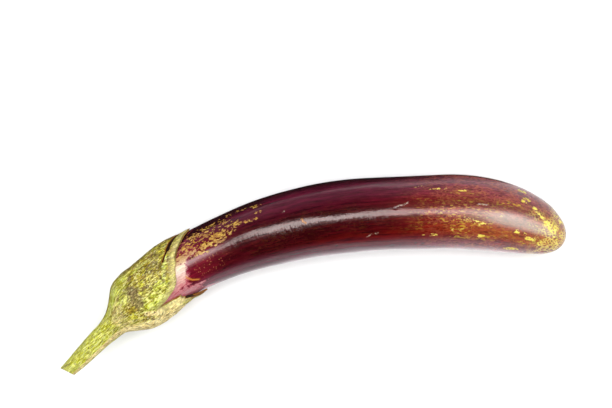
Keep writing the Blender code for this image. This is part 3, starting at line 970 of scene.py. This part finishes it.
def cap_edges(g):
    """Pale margin, dark brown edge partly painted shade, brown lip, dried tips with painted shadow
    under them and in the crack, and the inside darkened with painted shade.
    """
    inside, scorch_and_shade = g.mark("inside"), g.mark("scorch_and_shade")
    g.lay(g.mark("margin"), (0.58, 0.5, 0.23), 0.45)
    # Dark brown edge: partly dried tissue, partly painted shade where the cap sits on the fruit.
    g.lay(g.mark("rim"), (0.085, 0.038, 0.01), 0.9)
    g.lay(g.step(inside, 0.12, 0.35), (0.4, 0.19, 0.035), 0.75)
    g.lay(g.step(scorch_and_shade, 0.04, 0.3), (0.23, 0.085, 0.014))
    # Near-black: painted shadow under the curled lobe and in the crack.
    g.lay(g.step(scorch_and_shade, 0.4, 0.75), (0.02, 0.008, 0.004))
    # Painted shade: the inside of the cap, against the fruit, made dark.
    g.lay(g.step(inside, 0.75, 1.0), (0.06, 0.03, 0.012))


def stem_cut(g):
    """Fibrous face of the cut stem, brown at its rim."""
    cut = g.mark("cut")
    rings = g.noise(0.004, 0.0007, 3.0, 0.6)
    colour = g.colours(cut, [(0.0, (0.1, 0.07, 0.02)), (0.3, (0.16, 0.13, 0.03)),
                             (0.42, (0.34, 0.33, 0.09)), (0.75, (0.42, 0.4, 0.16)),
                             (1.0, (0.3, 0.25, 0.09))])
    g.lay(g.step(cut, 0.02, 0.2), g.mix(g.times(rings, 0.5), colour, (0.2, 0.16, 0.05)))


def cap_material(name):
    """Leathery yellow-green tissue with fibres, brown mottling, bruises and dry edges."""
    material = bpy.data.materials.new(name)
    g = Graph(material)
    mottle = g.noise(0.0032, 0.0015, 3.0, 0.66, 0.6)
    fine = g.noise(0.0013, 0.0007, 3.0, 0.65)
    fibre = g.noise(0.004, 0.0007, 3.0, 0.65, 0.9)
    fresh_and_lit, stemward = g.mark("fresh_and_lit"), g.mark("stemward")
    brown_share = g.minus(0.8, g.most(g.times(fresh_and_lit, 0.45), g.times(stemward, 0.52)))
    cap_ground(g, mottle, fibre, fresh_and_lit, stemward, brown_share)
    hollow = cap_pores(g, brown_share)
    cap_stains_and_shade(g, mottle, fine, fibre, stemward)
    cap_specks(g)
    cap_edges(g)
    stem_cut(g)
    g.put(g.shader.inputs["Base Color"], g.base)

    g.put(g.shader.inputs["Roughness"], g.plus(0.45, g.times(fine, 0.3)))
    g.shader.inputs["Specular IOR Level"].default_value = 0.04
    normal = g.bump(fibre, 0.00045)
    normal = g.bump(mottle, 0.0005, normal)
    normal = g.bump(fine, 0.00018, normal)
    g.put(g.shader.inputs["Normal"], g.bump(hollow, 0.0002, normal))
    return material


def floor_material():
    """Plain white table top."""
    material = bpy.data.materials.new("white_floor")
    g = Graph(material)
    grain = g.add("ShaderNodeTexNoise", {"Scale": 900.0}).outputs["Fac"]
    white = g.mix(g.times(grain, 0.02), (0.84, 0.84, 0.84), (0.78, 0.78, 0.78))
    g.put(g.shader.inputs["Base Color"], white)
    g.shader.inputs["Roughness"].default_value = 0.9
    g.shader.inputs["Specular IOR Level"].default_value = 0.1
    return material


# ---- stage
FLOOR_HALF = 2.0
FLOOR_DROP = 0.0001
CAMERA_PLACE = (0.0086, 0.0258)
CAMERA_ABOVE = 0.809
CAMERA_LEVEL = 0.020
CAMERA_ROLL = -14.87
CAMERA_LENS = 85.0
CAMERA_SENSOR = 36.0
CARD_LEVEL = 0.0002
CARD_START = 0.010
CARD_POINTS = 60
CARD_SWELL = 0.35
CARD_COLOUR = (1.0, 0.94, 0.97, 1.0)
CARD_BASE = (0.01, 0.01, 0.01, 1.0)
WARM_GLOSS = (1.0, 0.86, 0.83)
COOL_GLOSS = (0.80, 1.0, 0.98)
WORLD_SEEN = (0.90, 0.91, 0.92)
# Brightness of the room by the height of its direction: (z, level).
ROOM_INWARD = ((0.02, 0.40), (0.28, 0.03), (0.45, 0.006))
ROOM_OUTWARD = ((0.02, 0.40), (0.45, 0.26), (0.70, 0.010))


def make_floor():
    """Floor just under the eggplant."""
    mesh = bpy.data.meshes.new("floor")
    corners = [(x * FLOOR_HALF, y * FLOOR_HALF, -FLOOR_DROP)
               for x, y in ((-1, -1), (1, -1), (1, 1), (-1, 1))]
    mesh.from_pydata(corners, [], [(0, 1, 2, 3)])
    mesh.materials.append(floor_material())
    floor = new_object("floor", mesh)


def make_camera():
    """Camera straight above, turned so that the stem points down and to the left."""
    data = bpy.data.cameras.new("camera")
    data.lens = CAMERA_LENS
    data.sensor_width = CAMERA_SENSOR
    data.clip_start = 0.01
    camera = new_object("camera", data)
    camera.location = (*CAMERA_PLACE, CAMERA_LEVEL + CAMERA_ABOVE)
    camera.rotation_euler = (0.0, 0.0, math.radians(CAMERA_ROLL))
    bpy.context.scene.camera = camera


def add_panel(name, size, place, aim, radiance, glossy=True, diffuse=True, colour=(1, 1, 1),
              shape="RECTANGLE"):
    """Flat soft light that faces a point, placed in the camera's own turn."""
    data = bpy.data.lights.new(name, "AREA")
    data.shape = shape
    data.size, data.size_y = size
    data.color = colour
    data.energy = radiance * math.pi * size[0] * size[1]
    panel = new_object(name, data)
    turned = Matrix.Rotation(math.radians(CAMERA_ROLL), 4, "Z")
    middle = Vector((*CAMERA_PLACE, 0.0))
    panel.matrix_world = (Matrix.Translation(middle + turned @ Vector(place)) @ turned
                          @ Matrix.Rotation(math.radians(aim), 4, "Y"))
    panel.visible_glossy = glossy
    panel.visible_diffuse = diffuse


def card_line(sign, table, turns=()):
    """Near and far edge of a card along one side and round the tip, with its levels."""
    runs, reaches, levels = np.array(table).T
    along = np.linspace(runs[-1], runs[0], CARD_POINTS)
    run = np.append(along, np.full(len(turns), runs[0]))
    away = directions(run)[0] * sign
    tipward = centre(0.0) - centre(0.002)
    tipward /= np.linalg.norm(tipward)
    turn = np.radians(turns)[:, None]
    away[CARD_POINTS:] = away[-1] * np.cos(turn) + tipward * np.sin(turn)
    reach = CARD_START + np.interp(run, runs, reaches)[:, None]
    start = centre(run)
    return start + away * CARD_START, start + away * reach, np.interp(run, runs, levels)


def add_card(name, near, far, level, far_level):
    """Glowing card on the floor beside the eggplant that only glossy reflections see: it paints
    light and shade into the skin's reflections.

    It goes from its own brightness near the eggplant to another one far from it.
    """
    points = np.concatenate((near, far))
    points[:, 2] = CARD_LEVEL
    count = len(near)
    faces = [(i, i + 1, i + 1 + count, i + count) for i in range(count - 1)]
    mesh = bpy.data.meshes.new(name)
    mesh.from_pydata(points.tolist(), [], faces)
    add_mark(mesh, "away", np.repeat((0.0, 1.0), count))
    add_mark(mesh, "level", np.tile(level, 2))
    material = bpy.data.materials.new(name)
    g = Graph(material)
    g.shader.inputs["Base Color"].default_value = CARD_BASE
    g.shader.inputs["Specular IOR Level"].default_value = 0.0
    g.shader.inputs["Emission Color"].default_value = CARD_COLOUR
    away, level = g.mark("away"), g.mark("level")
    swell = g.times(g.step(away, 0.0, 0.4), g.times(level, CARD_SWELL))
    nearby = g.plus(level, swell)
    change = g.times(g.step(away, 0.3, 1.0), g.minus(far_level, nearby))
    g.put(g.shader.inputs["Emission Strength"], g.plus(nearby, change))
    mesh.materials.append(material)
    card = new_object(name, mesh)
    card.visible_camera = card.visible_diffuse = card.visible_shadow = False


def make_cards():
    """Dark card beside the outward side, painted shade in the skin's reflections, and a glowing
    bright one round the inner side and tip, a painted reflection of bright floor.
    """
    dark = ((0.025, 0.002, 0.0), (0.045, 0.060, 0.0), (0.065, 0.090, 0.0), (0.080, 0.110, 0.0),
            (0.100, 0.120, 0.0), (0.130, 0.250, 0.0), (0.160, 0.450, 0.0), (0.300, 0.450, 0.0))
    bright = ((0.000, 0.100, 1.4), (0.020, 0.100, 2.1), (0.050, 0.100, 1.6), (0.080, 0.100, 1.35),
              (0.120, 0.100, 1.40), (0.160, 0.090, 1.40), (0.180, 0.080, 1.00), (0.200, 0.080, 0.85),
              (0.235, 0.080, 1.3))
    add_card("dark_card", *card_line(1.0, dark), 0.8)
    add_card("bright_card", *card_line(-1.0, bright, range(10, 150, 10)), 1.2)


def make_light():
    """Strip, wide and end lights for the gloss alone, a soft light without gloss."""
    add_panel("strip_light", (1.62, 0.25), (0.46, 0.035, 1.05), 0.0, 9.8, diffuse=False,
              colour=WARM_GLOSS)
    add_panel("wide_light", (0.18, 0.50), (-0.09, -0.03, 1.04), 0.0, 2.6, diffuse=False,
              colour=WARM_GLOSS, shape="ELLIPSE")
    add_panel("end_light", (1.5, 1.05), (1.10, -0.35, 0.97), 49.0, 6.5, diffuse=False,
              colour=COOL_GLOSS, shape="ELLIPSE")
    add_panel("soft_light", (2.6, 1.4), (0.0, 0.08, 1.3), 0.0, 4.6, glossy=False)


def make_room():
    """World that lights like a dim room and looks white to the camera."""
    world = bpy.data.worlds.new("studio")
    bpy.context.scene.world = world
    g = Graph(world, "Background")
    direction = g.add("ShaderNodeTexCoord").outputs["Generated"]
    height = g.add("ShaderNodeSeparateXYZ", {0: direction}).outputs["Z"]
    outward = Matrix.Rotation(math.radians(CAMERA_ROLL), 4, "Z") @ Vector((0.0, 1.0, 0.0))
    side = g.add("ShaderNodeVectorMath", {0: direction, 1: outward}, operation="DOT_PRODUCT")
    share = g.spread(side.outputs["Value"], -0.3, 0.3, 0.0, 1.0)
    halves = [g.colours(height, [(z, (0.95 * level, level, 1.08 * level)) for z, level in stops])
              for stops in (ROOM_INWARD, ROOM_OUTWARD)]
    seen = g.add("ShaderNodeLightPath").outputs["Is Camera Ray"]
    g.put(g.shader.inputs["Color"], g.mix(seen, g.mix(share, *halves), WORLD_SEEN))


make_camera()
make_light()
make_room()
make_floor()
make_cards()
make_fruit()
make_calyx()
make_stem()
bpy.context.scene.view_settings.view_transform = "Standard"
